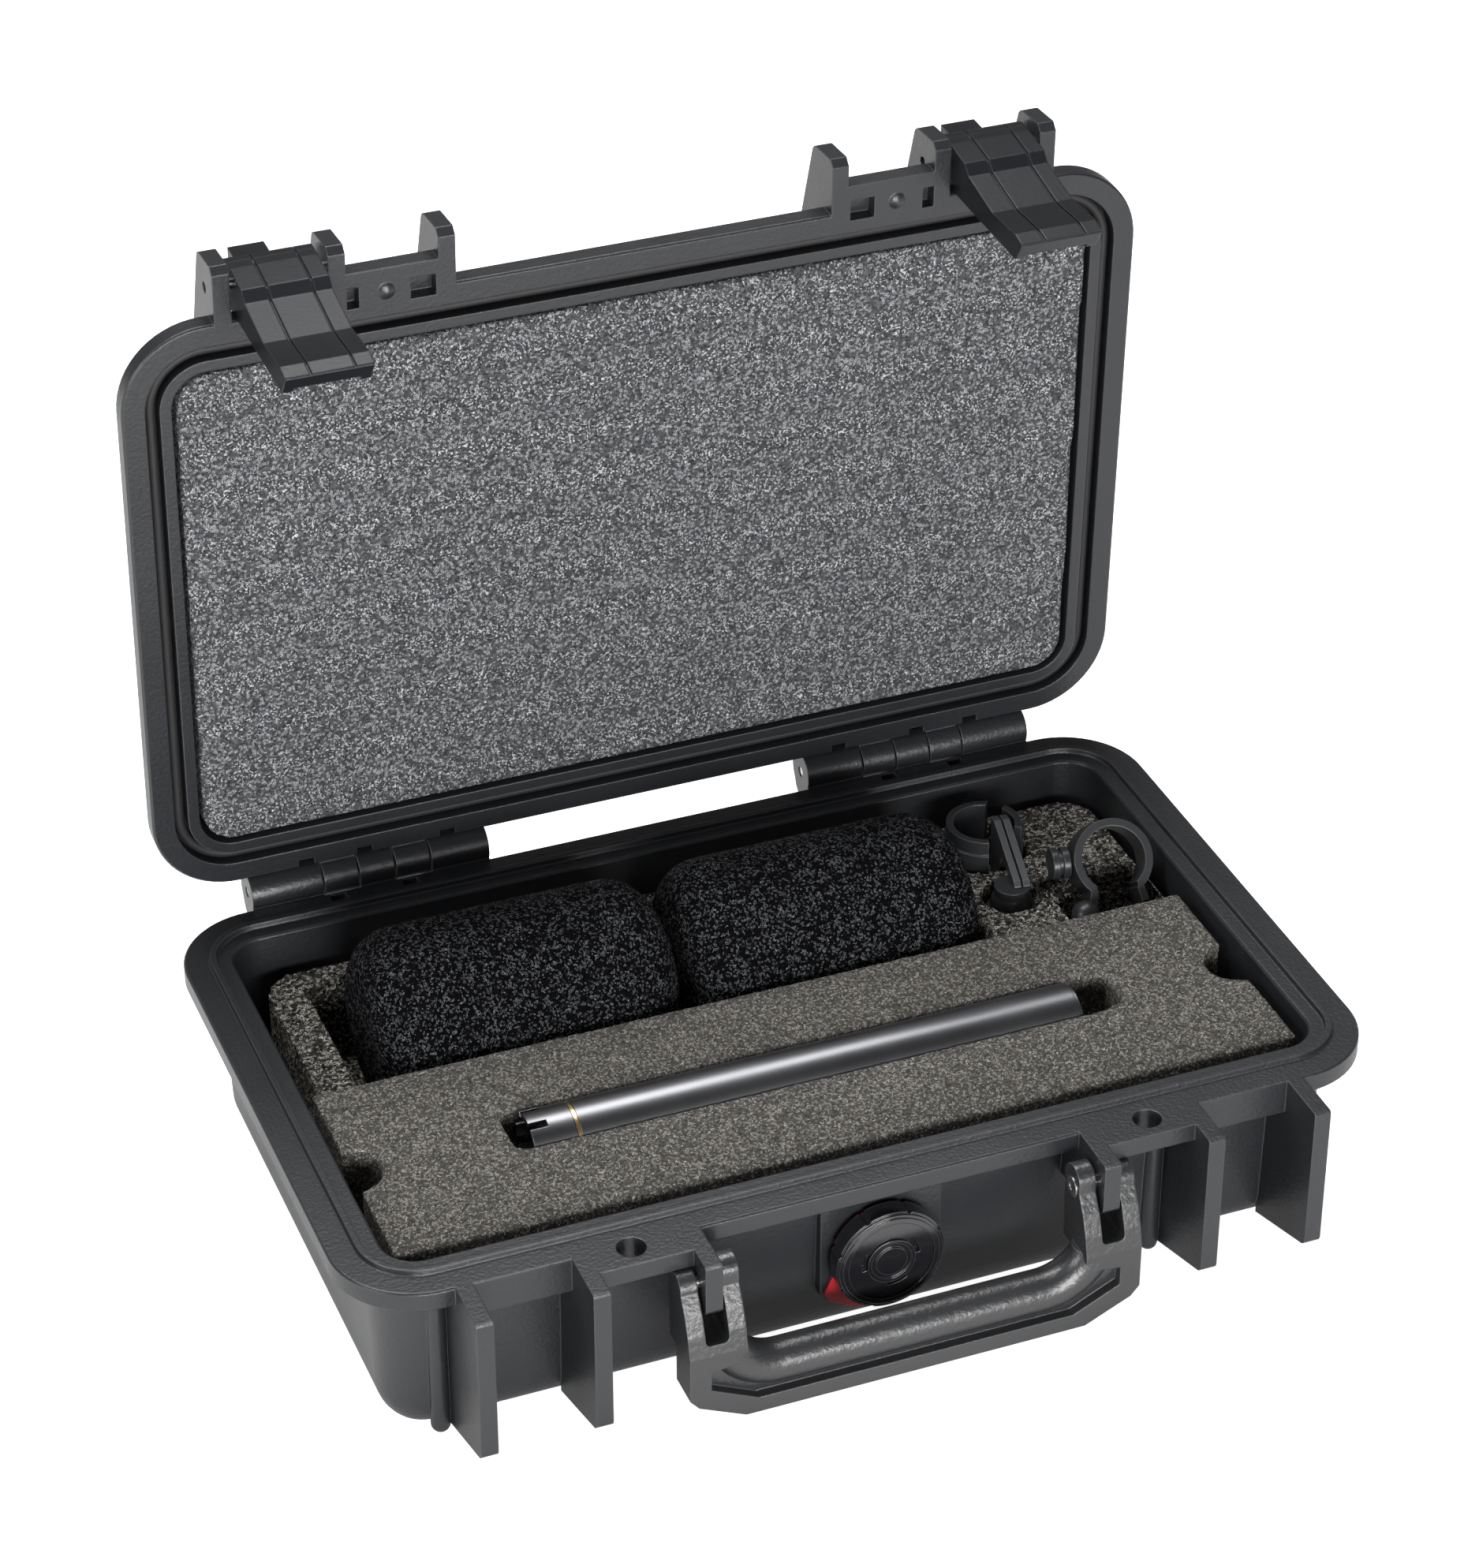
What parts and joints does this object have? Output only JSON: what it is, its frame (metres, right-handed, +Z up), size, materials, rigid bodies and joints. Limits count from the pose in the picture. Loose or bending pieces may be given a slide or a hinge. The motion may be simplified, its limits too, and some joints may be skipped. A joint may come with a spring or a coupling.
{
  "type": "microphone case",
  "caption": "Hinged moulded case with two latches, a folding handle and a pressure valve, holding a pencil microphone, windscreens and clips in cut foam.",
  "frame": {"origin": "middle of the case's underside, in the plane of its feet", "axes": "+Z up, +X to the right along the case, +Y from the handle to the hinges"},
  "size_m": [0.296, 0.2323, 0.2665],
  "materials": {
    "shell": "fine matt grain",
    "steel": "plain turned",
    "black_gloss": "gloss",
    "rubber": "dull",
    "membrane": "dull",
    "tag": "satin",
    "rear_foam": "coarse closed-cell foam, grey-brown",
    "lid_foam": "open-cell foam, grey",
    "latch": "satin",
    "grip": "satin with fine grain",
    "tray_foam": "fine closed-cell foam, grey-brown",
    "mic": "satin black",
    "gold": "polished",
    "windscreen": "coarse open-cell foam, black",
    "clip": "satin",
    "clip_plate": "satin"
  },
  "bodies": {
    "base": {"base_shell": "shell", "hinge_pin_left": "steel", "hinge_pin_right": "steel", "handle_pin_left": "steel", "handle_pin_right": "steel", "valve_stem": "black_gloss", "valve_seal": "rubber", "valve_nut": "black_gloss", "valve_membrane": "membrane", "valve_tag": "tag", "rear_foam": "rear_foam"},
    "lid": {"lid_shell": "shell", "lid_seal": "rubber", "lid_foam": "lid_foam", "latch_pin_left": "steel", "latch_pin_right": "steel"},
    "latch_left": {"latch_lever_left": "latch", "claw_pin_left": "steel"},
    "latch_right": {"latch_lever_right": "latch", "claw_pin_right": "steel"},
    "claw_left": {"latch_claw_left": "latch"},
    "claw_right": {"latch_claw_right": "latch"},
    "handle": {"handle": "grip"},
    "valve_knob": {"valve_knob": "black_gloss", "valve_cap": "black_gloss"},
    "tray": {"tray_foam": "tray_foam"},
    "microphone": {"mic_body": "mic", "mic_ring": "gold", "mic_head": "mic", "mic_capsule": "rubber", "mic_socket": "black_gloss"},
    "windscreen_left": {"windscreen_left": "windscreen"},
    "windscreen_right": {"windscreen_right": "windscreen"},
    "clip_left": {"clip_left_ring": "clip", "clip_left_yoke": "clip_plate", "clip_left_foot": "clip"},
    "clip_right": {"clip_right_ring": "clip", "clip_right_knob": "clip", "clip_right_foot": "clip"}
  },
  "joints": [
    {"name": "lid_hinge", "type": "hinge", "parent": "base", "child": "lid", "pos_m": [0, 0.0965, 0.06335], "axis": [-1, 0, 0], "range_deg": [-88, 0], "deforming": ["lid_foam"]},
    {"name": "latch_left_hinge", "type": "hinge", "parent": "lid", "child": "latch_left", "pos_m": [-0.1031, 0.09588, 0.25745], "axis": [-1, 0, 0], "range_deg": [0, 100]},
    {"name": "claw_left_hinge", "type": "hinge", "parent": "latch_left", "child": "claw_left", "pos_m": [-0.1031, 0.07453, 0.2526], "axis": [-1, 0, 0], "range_deg": [-85, 0]},
    {"name": "latch_right_hinge", "type": "hinge", "parent": "lid", "child": "latch_right", "pos_m": [0.1031, 0.09588, 0.25745], "axis": [-1, 0, 0], "range_deg": [0, 100]},
    {"name": "claw_right_hinge", "type": "hinge", "parent": "latch_right", "child": "claw_right", "pos_m": [0.1031, 0.07453, 0.2526], "axis": [-1, 0, 0], "range_deg": [-85, 0]},
    {"name": "handle_hinge", "type": "hinge", "parent": "base", "child": "handle", "pos_m": [0, -0.099, 0.0508], "axis": [-1, 0, 0], "range_deg": [0, 100]},
    {"name": "valve_turn", "type": "hinge", "parent": "base", "child": "valve_knob", "pos_m": [0, -0.087, 0.0338], "axis": [0, 1, 0], "range_deg": [0, 90]},
    {"name": "tray_lift", "type": "slide", "parent": "base", "child": "tray", "axis": [0, 0, 1], "range_m": [0, 0.08]},
    {"name": "microphone_lift", "type": "slide", "parent": "tray", "child": "microphone", "axis": [0, 0, 1], "range_m": [0, 0.05]},
    {"name": "windscreen_left_lift", "type": "slide", "parent": "base", "child": "windscreen_left", "axis": [0, 0, 1], "range_m": [0, 0.08]},
    {"name": "windscreen_right_lift", "type": "slide", "parent": "base", "child": "windscreen_right", "axis": [0, 0, 1], "range_m": [0, 0.08]},
    {"name": "clip_left_lift", "type": "slide", "parent": "base", "child": "clip_left", "axis": [0, 0, 1], "range_m": [0, 0.06]},
    {"name": "clip_right_lift", "type": "slide", "parent": "base", "child": "clip_right", "axis": [0, 0, 1], "range_m": [0, 0.06]}
  ]
}
